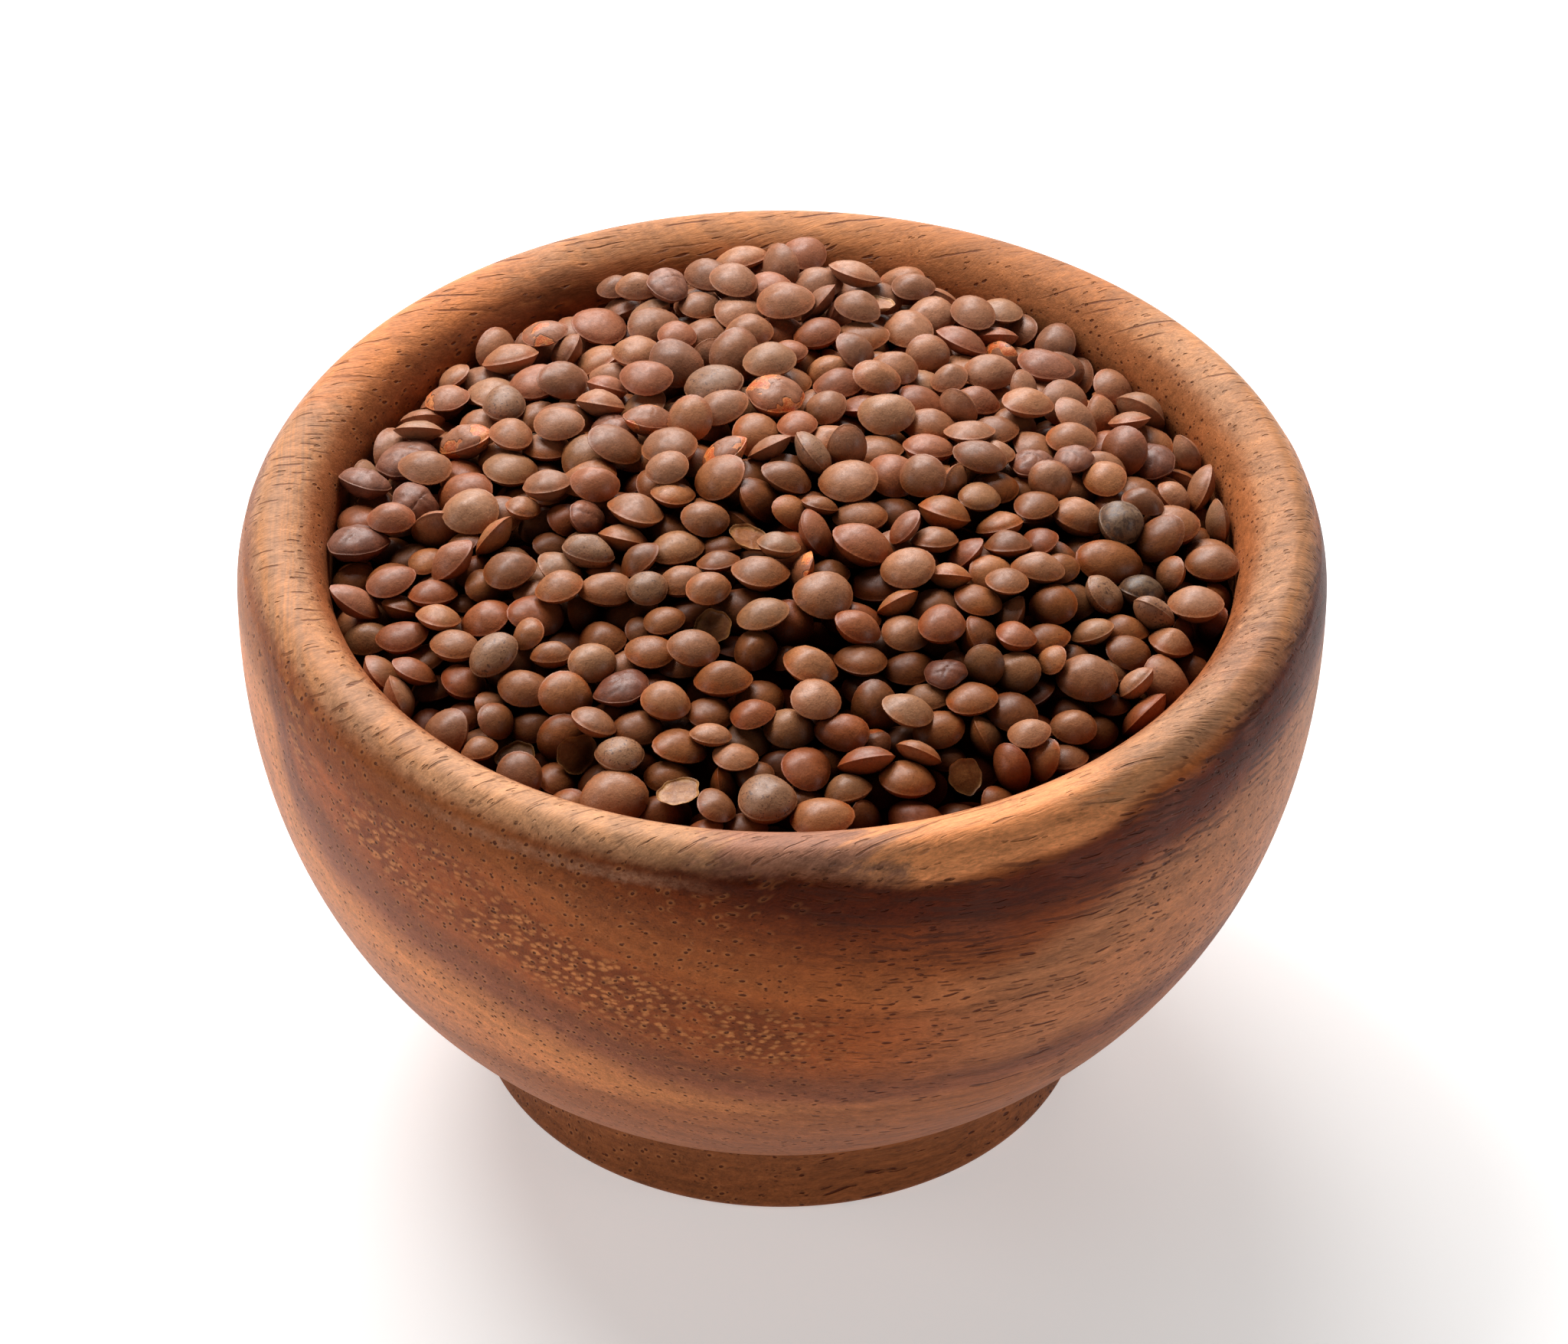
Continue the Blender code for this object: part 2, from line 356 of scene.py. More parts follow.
def bowlProfile(f):
    points = []
    steps, quarter = f["steps"], math.pi / 2
    depth = f["mouthHeight"] - f["floorHeight"]
    for turn in np.linspace(0, quarter, steps["hollow"]):
        z = f["mouthHeight"] - depth * math.cos(turn) ** (2 / f["hollowFullness"])
        points.append((f["mouthRadius"] * math.sin(turn), z))
    for turn in np.linspace(0, quarter, steps["mouth"])[1:]:
        r = f["lipRadius"] - (f["lipRadius"] - f["mouthRadius"]) * math.cos(turn)
        points.append((r, f["mouthHeight"] + (f["top"] - f["mouthHeight"]) * math.sin(turn)))
    for turn in np.linspace(0, quarter, steps["crest"])[1:]:
        r = f["lipRadius"] + (f["reach"] - f["lipRadius"]) * math.sin(turn)
        points.append((r, f["widestHeight"] + (f["top"] - f["widestHeight"]) * math.cos(turn)))
    for z in np.linspace(f["widestHeight"], f["footHeight"] + f["curl"], steps["body"])[1:]:
        share = (f["widestHeight"] - z) / f["bodyDepth"]
        points.append((f["reach"] * math.sqrt(1 - share ** f["bodyFullness"]), z))
    overhang = points[-1][0] - f["footRadius"]
    for share in f["curlShares"]:
        points.append((f["footRadius"] + overhang * share, f["footHeight"] + f["curl"] * share))
    for z in np.linspace(f["footHeight"], f["footEdge"], steps["foot"]):
        share = (z - f["footEdge"]) / (f["footHeight"] - f["footEdge"])
        points.append((f["footRadius"] - f["footWaist"] * math.sin(math.pi * share), z))
    for turn in np.linspace(0, quarter, steps["footEdge"])[1:]:
        r = f["footRadius"] - f["footEdge"] * (1 - math.cos(turn))
        points.append((r, f["footEdge"] * (1 - math.sin(turn))))
    for share in f["underside"]:
        points.append((share * (f["footRadius"] - f["footEdge"]), 0.0))
    return np.array(points)


def makeBowl(f, material):
    profile = bowlProfile(f)
    rings, sides = len(profile), f["sides"]
    turn = np.arange(sides) / sides * 2 * math.pi
    r = np.repeat(profile[:, :1], sides, axis=1)
    z = np.repeat(profile[:, 1:], sides, axis=1)
    (startReach, startHeight), (fullReach, fullHeight) = f["wavesFrom"], f["wavesFull"]
    outside = np.clip((r - startReach) / (fullReach - startReach), 0, 1)
    outside = outside * np.clip((z - startHeight) / (fullHeight - startHeight), 0, 1)
    wave = sum(share * np.sin(number * turn + start) for share, number, start in f["waves"])
    r = r + outside * f["waviness"] * (wave - 0.9)  # inwards, so that the bowl keeps its reach
    ragged = 0.55 + 0.25 * np.sin(23 * turn + 1.0) + 0.2 * np.sin(41 * turn + 2.6) * np.sin(5 * turn)
    edge = np.exp(-(((z - f["edgeHeight"]) / f["edgeWidth"]) ** 2)) * (r > f["lipRadius"])
    r = r + edge * f["edgeRise"] * ragged
    points = np.stack([r * np.cos(turn), r * np.sin(turn), z], axis=2)
    middle = points[1:-1].reshape(-1, 3)
    points = np.concatenate([middle, [[0, 0, profile[0, 1]]], [[0, 0, profile[-1, 1]]]])
    faces = turnedFaces(rings - 2, sides, 0, len(middle), len(middle) + 1)
    piece = keepMesh("turned_bowl", points, faces, material)
    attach(piece, "root")
    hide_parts("bowl")


# Wood
woodGrain = {
    "fibres": {
        "turn": 20,  # azimuth of the fibres at the back
        "swing": 0.24,  # how much more they cross towards the front
        "swingSpan": (0.0, 48.0),
        "rise": 0.10,
        "arch": 0.0053,  # and arch down towards the right
        "archSpan": (-5.0, 15.0),
        "wobble": 1.6,
    },
    "ringAxis": {
        "way": (87.3, -7.2),  # azimuth and elevation
        "side": 19.5,  # where it passes
        "up": 115.5,
        "sway": 2.4,
        "ripple": 2.2,
        "leftFall": {"by": 3.4, "span": (24.0, 42.0)},  # the bands dip towards the left,
        "leftRise": {"by": 8.0, "span": (43.2, 47.2)},  # then turn up at the very side
    },
    "rings": [  # distance from the rings' axis, and the wood's colour there
        (54.0, tint(202, 136, 84)),
        (61.0, tint(200, 124, 68)),
        (64.0, tint(176, 98, 48)),
        (66.3, tint(92, 37, 12)),
        (69.0, tint(84, 33, 10)),
        (72.0, tint(122, 58, 26)),
        (75.0, tint(140, 74, 38)),
        (79.0, tint(162, 90, 48)),
        (83.0, tint(154, 79, 40)),
        (86.0, tint(164, 86, 44)),
        (88.8, tint(158, 85, 48)),
        (91.0, tint(130, 75, 50)),
        (93.5, tint(146, 86, 60)),
        (97.0, tint(202, 126, 76)),
        (101.0, tint(198, 122, 76)),
        (104.0, tint(184, 112, 70)),
        (108.0, tint(198, 122, 74)),
        (118.0, tint(180, 108, 66)),
    ],
    "noise": {  # how fine each one is per mm, its detail and its roughness
        "sway": (0.035, 2.0),
        "ripple": (0.2, 3.0),
        "wobble": (0.16, 2.0),
        "clouds": (0.075, 3.0),
        "crumbs": (1.6, 3.0, 0.6),
        "crowd": (0.09, 2.0),
        "heart": (0.11, 3.0),
        "streaks": (1.3, 4.0, 0.62),
        "fine": (5.5, 3.0, 0.7),
        "brushed": (0.62, 5.0, 0.72),
        "grit": (4.5, 2.0, 0.6),
        "growth": (0.95, 4.0, 0.6),
        "foot": (1.5, 4.0, 0.65),
        "broken": (0.85, 1.0),
    },
    # The smaller, the further each one is drawn out along the fibres
    "drawnOut": {"streaks": 0.06, "fine": 0.16, "brushed": 0.05, "grit": 0.4, "growth": 0.05, "foot": 0.16},
    "ragged": {"streaks": 1.6, "ripple": 1.2},  # how uneven every border between two colours is
    "heart": {  # mauve heartwood in the darker rings, on the right
        "colour": tint(122, 76, 62), "share": 0.45, "patches": (0.42, 0.62), "side": (2.0, 36.0),
        "rings": [(64.5, 67.0, 71.0, 74.0), (88.6, 91.0, 94.0, 97.0)],
    },
    "tan": {  # a tan band below the dark rings on the right
        "colour": tint(184, 124, 86), "share": 0.58, "rings": (75.0, 79.0, 88.0, 92.0),
        "side": (4.0, 26.0), "lift": 5.0, "liftSide": (18.0, 34.0),
    },
    # painted shade: the wood darker inside the hollow
    "inside": {"colour": tint(150, 88, 55), "share": 0.8, "reach": (44.2, 45.4), "ragged": 0.4},
    "foot": {"colour": tint(140, 82, 46), "share": 0.75, "height": (7.4, 8.2), "flat": 1.5},
    "lip": {
        "colour": tint(188, 137, 102),
        "share": 0.92,
        "height": (57.3, 59.2),  # between these it turns paler, partly worn wood and partly painted highlight
        "ragged": 0.6,
        "crest": (42.6, 44.6),  # and from the hollow's edge outwards
        "least": 0.25,
        "glow": {"colour": tint(196, 131, 84), "share": 0.6, "span": (-0.12, 0.16)},  # warmer stretches
        "low": {"azimuth": -66, "width": (8, 22), "by": 1.8},  # where the pale wood reaches lower
        "swirl": 30,  # how uneven the patches' ends are
        "patches": [  # azimuth, half width in degrees, colour, strength
            (-89, 12, tint(160, 110, 92), 0.75),
            (-66, 18, tint(252, 160, 102), 0.88),
            (-116, 24, tint(222, 162, 118), 0.60),
            (-24, 9, tint(140, 96, 80), 0.35),
            (62, 26, tint(172, 104, 60), 0.80),
            (96, 26, tint(180, 116, 72), 0.70),
            (8, 20, tint(176, 122, 86), 0.60),
            (140, 26, tint(228, 134, 74), 0.60),
        ],
    },
    "flecks": {  # pale flecks in rows on the end grain, on the left
        "colour": tint(206, 130, 76), "share": 0.74,
        "between": {"colour": tint(104, 52, 30), "share": 0.64},
        "rings": (80.5, 83.0, 87.0, 90.0), "side": (-2.0, 9.0), "patches": (-0.16, 0.04),
        "spacing": 0.92, "size": (0.12, 0.44), "ragged": {"fine": 0.35, "crumbs": 0.5},
    },
    "edgeHighlight": {  # a painted highlight, ragged, along the edge where the lip turns into the body
        "colour": tint(174, 128, 100), "share": 0.55, "from": (55.9, 56.5), "to": (56.9, 57.7),
        "ragged": (0.6, 0.3), "azimuths": (-140, -93), "ends": 15, "reach": (47.0, 48.5),
        "broken": (-0.12, 0.10), "least": 0.55,
    },
    "shoulder": {  # the darker outer edge of the lip on the left
        "colour": tint(120, 68, 38), "share": 0.5, "height": (52.0, 54.5, 57.6, 59.0), "ragged": 0.8,
        "reach": (46.6, 48.0), "side": (12.0, 36.0),
    },
    "tone": {  # how much each thing lightens or darkens the wood
        "plain": 0.97, "streaks": 0.9, "fine": 1.0, "growth": 0.85, "clouds": 0.35, "brushed": 0.35,
        "openGrain": 1.1, "foot": 1.1, "grit": 0.55, "crumbs": 0.30, "sides": 0.13, "low": 0.09,
    },
    "openGrain": {"side": (-12.0, 24.0), "front": (-20.0, 12.0)},  # rougher at the front right
    # painted sheen on the upper left and right of the body, and darker low down
    "sideSheenLowDark": {"high": (26.0, 44.0), "low": (10.0, 28.0), "left": (4.0, 28.0), "right": (16.0, 38.0)},
    "pores": [
        {"spacing": 1.30, "radius": 0.150, "dark": 0.88, "pale": 0.26, "open": 0.47, "stretch": 0.30},
        {"spacing": 0.90, "radius": 0.080, "dark": 0.66, "pale": 0.0, "open": 0.52, "stretch": 0.34},
    ],
    "poreTint": tint(80, 34, 18),
    "poreShift": 37.0,  # so that the second set doesn't lie on the first
    "haloTint": tint(204, 130, 78),  # a pale ring round the large ones, on the left
    "haloSide": (-6.0, 8.0),
    "marks": {
        "colour": tint(98, 50, 28), "share": 0.80, "crowded": (-0.10, 0.06),
        "line": {"colour": tint(74, 38, 26), "share": 0.72, "rings": (60.0, 64.0, 71.0, 78.0)},
        "side": (-10.0, 14.0), "sideSlope": 0.21,  # how they fall across the body towards the right
        "arcRadius": 47.0, "linesApart": 40.0, "cracksApart": 90.0,  # so that no set lies on another
        "lipSlope": (0.15, 0.34), "lipSlopeSpan": (10.0, 46.0), "cracked": (10.0, 30.0),
        "fewerRight": (-10.0, 30.0), "fewerFront": (24.0, 40.0), "fewerBack": (8.0, 26.0),
    },
    "lipStrokes": {"spacing": 0.90, "stretch": 0.22, "length": 2.8, "width": 0.19, "share": 0.60},
    "backCracks": {"spacing": 1.9, "stretch": 0.16, "length": 9.0, "width": 0.20, "share": 0.60},
    "sideStrokes": {"spacing": 0.72, "stretch": 0.26, "length": 1.7, "width": 0.20, "share": 0.60},
    "darkLines": {"spacing": 0.95, "stretch": 0.10, "length": 9.0, "width": 0.46, "share": 0.72},
    "relief": {"streaks": 0.5, "fine": 0.6, "pores": 1.5, "strokes": 1.2, "depth": 0.00009},
    "roughness": (0.44, 0.2),  # plain, and how much the fine fibres change it
}


def followRings(wood, r, at):  # how far each point lies from the rings' axis, with a slow sway
    way = direction(*r["way"])
    level = way.cross(Vector((0, 0, 1))).normalized()
    upright = level.cross(way)
    side = wood.along(at.place, level) - r["side"]
    rise = wood.along(at.place, upright) - r["up"]
    distance = (side * side + rise * rise) ** 0.5 + at.sway * r["sway"] + at.ripple * r["ripple"]
    distance = distance - wood.step(-1 * at.x, *r["leftFall"]["span"]) * r["leftFall"]["by"]
    return distance + wood.step(-1 * at.x, *r["leftRise"]["span"]) * r["leftRise"]["by"]


def followFibres(wood, g, at):  # where each point lies along the fibres and across them
    fibres = g["fibres"]
    wobble = wood.noise(at.place, *g["noise"]["wobble"], out=1)
    x, y, z = wood.parts(wood.moved(at.place, wood.scaled(wobble, fibres["wobble"])))
    turn = math.radians(fibres["turn"])
    swing = math.sin(turn) + wood.step(-1 * at.y, *fibres["swingSpan"]) * fibres["swing"]
    arch = wood.step(at.x, *fibres["archSpan"]) * fibres["arch"]
    lengthwise = x * math.cos(turn) + y * math.sin(turn)
    sideways = y * math.cos(turn) - x * swing
    vertical = z - x * fibres["rise"] + x * x * arch
    return lengthwise, sideways, vertical


def readWood(wood, g):  # what the colours are worked out from at each point
    noise, drawnOut = g["noise"], g["drawnOut"]
    at = SimpleNamespace(place=wood.place())
    at.x, at.y, at.z = wood.parts(at.place)
    at.fromAxis = (at.x * at.x + at.y * at.y) ** 0.5
    at.around = wood.maths("ARCTAN2", at.y, at.x) * (180 / math.pi)
    at.sway, at.ripple, at.clouds, at.crumbs, at.crowd = [
        wood.drift(at.place, noise[name]) for name in ("sway", "ripple", "clouds", "crumbs", "crowd")
    ]
    at.distance = followRings(wood, g["ringAxis"], at)
    at.lengthwise, at.sideways, at.vertical = followFibres(wood, g, at)
    at.streaks, at.fine, at.brushed, at.grit = [
        wood.drift(wood.joined(at.lengthwise * drawnOut[name], at.sideways, at.vertical), noise[name])
        for name in ("streaks", "fine", "brushed", "grit")
    ]
    thin = drawnOut["growth"]
    layers = wood.joined(at.distance, at.lengthwise * thin, at.sideways * thin)
    at.growth = wood.drift(layers, noise["growth"])
    thin = drawnOut["foot"]
    turned = wood.joined(at.x * thin, at.y * thin, at.z * g["foot"]["flat"])
    at.footGrain = wood.drift(turned, noise["foot"])
    at.ragged = at.streaks * g["ragged"]["streaks"] + at.ripple * g["ragged"]["ripple"]
    return at


def findZones(wood, g, at):  # the hollow, with painted shade, the foot and the lip's crest, paler partly from wear and partly as painted highlight, each 0 to 1
    inside, lip = g["inside"], g["lip"]
    at.inner = 1 - wood.step(at.fromAxis + at.ragged * inside["ragged"], *inside["reach"])
    at.foot = 1 - wood.step(at.z, *g["foot"]["height"])
    off = wood.size(at.around - lip["low"]["azimuth"])
    lower = (1 - wood.step(off, *lip["low"]["width"])) * lip["low"]["by"]
    crest = wood.step(at.fromAxis + at.ragged * inside["ragged"], *lip["crest"])
    pale = wood.step(at.z + at.ragged * lip["ragged"] + lower, *lip["height"])
    at.lip = pale * (lip["least"] + (1 - lip["least"]) * crest)
    at.body = (1 - at.lip) * (1 - at.inner)


def colourRings(wood, g, at):
    colour = wood.ramp(at.distance, g["rings"][0][0], g["rings"][-1][0], g["rings"])
    heart = g["heart"]
    first, second = [wood.band(at.distance, rings) for rings in heart["rings"]]
    patches = wood.step(wood.noise(at.place, *g["noise"]["heart"]), *heart["patches"])
    colour = wood.laid(colour, (first + second) * patches * wood.step(at.x, *heart["side"]), heart)
    tan = g["tan"]
    start, full, fade, end = tan["rings"]
    lifted = at.distance + wood.step(at.x, *tan["liftSide"]) * tan["lift"]
    band = wood.step(lifted, start, full) * wood.step(at.x, *tan["side"])
    band = band * (1 - wood.step(at.distance, fade, end))
    return wood.laid(colour, band, tan)


def colourZones(wood, g, at, colour):
    # painted shade inside the hollow
    colour = wood.laid(colour, at.inner, g["inside"])
    lip, glow = g["lip"], g["lip"]["glow"]
    warm = wood.step(at.growth + at.clouds, *glow["span"])
    lipColour = wood.laid(lip["colour"], warm, glow)
    for azimuth, width, patchTint, strength in lip["patches"]:
        off = wood.size(at.around - azimuth + at.brushed * lip["swirl"])
        lipColour = wood.mix((1 - wood.step(off, width * 0.4, width)) * strength, lipColour, patchTint)
    # the lip paler, partly worn wood and partly painted highlight along the crest
    colour = wood.mix(at.lip * lip["share"], colour, lipColour)
    return wood.laid(colour, at.foot, g["foot"])


def addFlecks(wood, g, at, colour):
    f = g["flecks"]
    zone = wood.band(at.distance, f["rings"]) * (1 - wood.step(at.x, *f["side"]))
    zone = zone * wood.step(at.clouds + at.ripple * 0.5, *f["patches"]) * at.body
    rowsAcross = at.x * 0.80 + at.z * 0.35 + at.crumbs * 0.9
    rowsDown = at.z * 1.15 - at.x * 0.3 + at.ripple * 2.0
    cell = wood.cells(wood.joined(rowsAcross, rowsDown, 0.0), 1 / f["spacing"])
    uneven = at.fine * f["ragged"]["fine"] + at.crumbs * f["ragged"]["crumbs"]
    fleck = 1 - wood.step(cell + uneven, *f["size"])
    return wood.laid(wood.laid(colour, zone, f["between"]), zone * fleck, f)


def paintEdgeHighlightAndShoulder(wood, g, at, colour):
    # painted highlight along the edge of the lip's shoulder
    s = g["edgeHighlight"]
    line = wood.step(at.z + at.ragged * s["ragged"][0], *s["from"])
    line = line * (1 - wood.step(at.z + at.ragged * s["ragged"][1], *s["to"]))
    start, end = s["azimuths"]
    line = line * wood.band(at.around, (start, start + s["ends"], end - s["ends"], end))
    broken = wood.step(at.crumbs + at.streaks, *s["broken"])
    line = line * wood.step(at.fromAxis, *s["reach"]) * (s["least"] + (1 - s["least"]) * broken)
    colour = wood.laid(colour, line, s)
    s = g["shoulder"]
    shoulder = wood.band(at.z + at.ragged * s["ragged"], s["height"])
    shoulder = shoulder * wood.step(at.fromAxis, *s["reach"]) * wood.step(-1 * at.x, *s["side"])
    return wood.laid(colour, shoulder, s)


def toneWood(wood, g, at, colour):  # lighter and darker with the fibres, the clouds and the height; painted sheen lightens the upper left and right sides
    t, w = g["tone"], g["sideSheenLowDark"]
    grainy = wood.step(at.x, *g["openGrain"]["side"]) * wood.step(-1 * at.y, *g["openGrain"]["front"])
    tone = t["plain"] + at.streaks * t["streaks"] + at.fine * t["fine"]
    tone = tone + at.growth * t["growth"] * (1 - at.foot) + at.clouds * t["clouds"]
    tone = tone + at.brushed * (t["brushed"] + grainy * t["openGrain"]) + at.footGrain * at.foot * t["foot"]
    tone = tone + at.grit * t["grit"] + at.crumbs * t["crumbs"]
    # painted sheen on the upper sides; the body darker low down
    high, low = wood.step(at.z, *w["high"]), 1 - wood.step(at.z, *w["low"])
    sides = wood.step(-1 * at.x, *w["left"]) + wood.step(at.x, *w["right"]) * 0.9
    tone = tone + (sides * high * t["sides"] - low * t["low"]) * at.body
    return wood.scaled(colour, tone)


def cutPores(wood, g, at, colour):  # thin tubes along the grain
    cut = 0.0
    for number, p in enumerate(g["pores"], 1):
        across = at.sideways + g["poreShift"] * number
        tube = wood.cells(wood.joined(across, at.vertical, 0.0), 1 / p["spacing"])
        tube = tube * p["spacing"]
        lengthwise = at.lengthwise * p["stretch"]
        broken = wood.noise(wood.joined(lengthwise, across, at.vertical), *g["noise"]["broken"])
        open = wood.step(broken + at.crowd * 0.3, p["open"] - 0.03, p["open"] + 0.03)
        pore = (1 - wood.step(tube, p["radius"] * 0.6, p["radius"] * 1.15)) * open
        if p["pale"]:  # a pale ring round it
            halo = (1 - wood.step(tube, p["radius"] * 1.4, p["radius"] * 3.0)) * open
            halo = halo * p["pale"] * (1 - at.lip) * (1 - wood.step(at.x, *g["haloSide"]))
            colour = wood.mix(halo, colour, g["haloTint"])
        colour = wood.mix(pore * p["dark"] * (1 - at.lip * 0.60), colour, g["poreTint"])
        cut = pore + cut
    return colour, cut


def drawStrokes(wood, g, at, colour):  # short dark marks, long dark lines and fine cracks
    m = g["marks"]
    onSide = wood.step(at.x, *m["side"]) * at.body
    arc = at.around * (math.pi / 180 * m["arcRadius"])
    fallen = at.z * 1.1 + arc * m["sideSlope"]
    side = wood.strokes(arc, fallen + at.ripple * 1.2, g["sideStrokes"]) * onSide
    lines = wood.strokes(arc, fallen + at.ripple * 2.0 + m["linesApart"], g["darkLines"]) * onSide
    colour = wood.laid(colour, lines * wood.band(at.distance, m["line"]["rings"]), m["line"])

    level, steep = m["lipSlope"]
    slope = level + wood.step(-1 * at.y, *m["lipSlopeSpan"]) * steep
    acrossLip = at.y * 0.85 + at.z * 0.50 - at.x * slope + at.ripple * 0.8
    crest = wood.strokes(at.x, acrossLip, g["lipStrokes"]) * at.lip
    crest = crest * (1 - 0.55 * wood.step(at.x, *m["fewerRight"]))
    crest = crest * (1 - 0.45 * wood.step(-1 * at.y, *m["fewerFront"]))
    crest = crest * (1 - 0.65 * wood.step(at.y, *m["fewerBack"]))
    cracks = wood.strokes(at.x, acrossLip + m["cracksApart"], g["backCracks"]) * at.lip
    cracks = cracks * wood.step(at.y, *m["cracked"])
    marks = side * wood.step(at.crowd, *m["crowded"]) + crest * 0.8 + cracks
    return wood.laid(colour, marks, m), marks * m["share"]


def makeWood(g):
    wood = Bench("turnedWood", Specular_IOR_Level=0.08)
    at = readWood(wood, g)
    findZones(wood, g, at)
    colour = colourRings(wood, g, at)
    colour = colourZones(wood, g, at, colour)
    colour = addFlecks(wood, g, at, colour)
    colour = paintEdgeHighlightAndShoulder(wood, g, at, colour)
    colour = toneWood(wood, g, at, colour)
    colour, pores = cutPores(wood, g, at, colour)
    colour, marks = drawStrokes(wood, g, at, colour)
    r = g["relief"]
    relief = at.streaks * r["streaks"] + at.fine * r["fine"] - pores * r["pores"] - marks * r["strokes"]
    plain, uneven = g["roughness"]
    return wood.finish(Base_Color=colour, Roughness=plain + at.fine * uneven,
                       Normal=wood.bump(relief, r["depth"]))


# Heap of lentils
heapForm = {
    "seed": 17,
    "edgeHeight": 54.4,  # mean surface at the wall
    "rise": 6.4,  # how much higher the middle stands
    "tilt": 0.8,  # how much higher the far side lies
    "mound": 3.2,  # more lentils lie piled against the far wall
    "moundPlace": (-1.0, 36.0),
    "moundReach": (15.0, 9.0),
    "coreDepth": 5.0,  # the core's top lies this much lower
    "wallGap": 0.3,  # between the core and the bowl
    "cell": 0.2,  # of the height map that the lentils are dropped on
    "mapReach": 48.0,
    "most": 1500,
    "misses": 60,  # it ends when so many have found no place
    "tolerance": 1.5,  # a lentil is dropped only where the surface is this much too low
    "proud": 2.9,  # how far the top of a lentil may stand over the mean surface
    "spots": 70,  # random places, of which the deepest is filled
    "spotGap": 1.6,  # their distance from the wall
    "tilts": [0.4, 0.9, 1.35],  # how far a lentil starts tilted, at most, in radians
    "tiltShares": [0.52, 0.30, 0.18],
    "wallReach": 3.4,
    "standing": 0.22,  # share of the lentils at the wall that lean on it
    "standTilt": (0.9, 1.3),
    "standTurn": 0.3,  # how far off the wall's own direction
    "rounds": (4, 9),  # then each lentil wanders and rocks until it lies low
    "tries": 30,
    "wander": 0.75,
    "rock": 0.30,
    "standRock": 0.05,
    "calming": 0.78,  # less and less
    "shadeFrom": -0.6,  # skins darken from this depth
    "shadeTo": 2.9,
    "shadeEase": 0.070,  # and less so on the far side, which faces the light
    "shadeReach": (-1.3, 3.2),  # what lies this way stands between a skin and the light
    "shadeBlur": 2.0,
}

# One lentil's proportions
lensForm = {
    "radius": (2.37, 0.27),  # mean and spread
    "radiusRange": (1.75, 2.98),
    "oval": (0.85, 1.0),
    "thickness": 0.525,
    "thicker": (0.82, 1.18),
    "power": (0.66, 0.96),  # the lower, the fuller the cheeks
    "tipped": 0.30,  # share with a pointed end
    "tip": (0.06, 0.24),
    "blunt": (0.0, 0.03),
    "lean": 0.16,  # how much one cheek is fuller than the other
    "lump": (0.012, 0.040),
    "foot": 0.962,  # where the cheek meets the thin brim
    "brim": 0.060,
    "brimRings": (0.978, 0.993),
}

# Points round a lentil and rings on each cheek
patterns = {"touch": (14, 4), "settled": (60, 16), "plain": (22, 5), "odd": (40, 11)}

# The dark core under the lentils that show: a sheet of painted shade in place of the shaded lentils deeper
# down
coreForm = {
    "sides": 96,
    "rings": 14,
    "under": (1.0, 0.9, 0.6, 0.3),
    "shoulder": 44.0,  # height where it turns in from the wall
    "bottom": 14.0,
    "colour": tint(30, 12, 6),
}


def heapHeight(h, x, y):
    reach = bowlForm["mouthRadius"]
    dome = h["rise"] * (1 - (x**2 + y**2) / reach**2) + h["tilt"] * y / reach
    acrossMound = (x - h["moundPlace"][0]) / h["moundReach"][0]
    alongMound = (y - h["moundPlace"][1]) / h["moundReach"][1]
    return h["edgeHeight"] + dome + h["mound"] * np.exp(-(acrossMound**2) - alongMound**2)


def patternOf(segments, rings):  # angles, reaches and sides of a lens's points, and its triangles
    cheek = lensForm["foot"] * np.sin(np.linspace(0, math.pi / 2, rings + 1))[1:]
    reach = np.append(cheek, lensForm["brimRings"])
    angle = np.arange(segments) / segments * 2 * math.pi
    rows = [(share, 1.0) for share in reach] + [(1.0, 0.0)] + [(share, -1.0) for share in reach[::-1]]
    reaches, sides = np.repeat(np.array(rows), segments, axis=0).T
    faces = turnedFaces(len(rows), segments, 1, 0, len(reaches) + 1)
    angles = np.concatenate([[0.0], np.tile(angle, len(rows)), [0.0]])
    return angles, np.concatenate([[0.0], reaches, [0.0]]), np.concatenate([[1.0], sides, [-1.0]]), faces


def drawShapes(lens, rng, count):  # one row of random proportions for each lentil
    low, high = lens["radiusRange"]
    tipped = rng.random(count) < lens["tipped"]
    return {
        "radius": np.clip(rng.normal(*lens["radius"], count), low, high),
        "oval": rng.uniform(*lens["oval"], count),
        "thick": lens["thickness"] * rng.uniform(*lens["thicker"], count),
        "power": rng.uniform(*lens["power"], count),
        "tear": np.where(tipped, rng.uniform(*lens["tip"], count), rng.uniform(*lens["blunt"], count)),
        "lean": rng.uniform(-lens["lean"], lens["lean"], count),
        "lumpTurn": rng.uniform(0, 2 * math.pi, (count, 3)),
        "lump": rng.uniform(*lens["lump"], count),
        "wrinkle": np.zeros(count),
        "dish": np.zeros(count),
    }


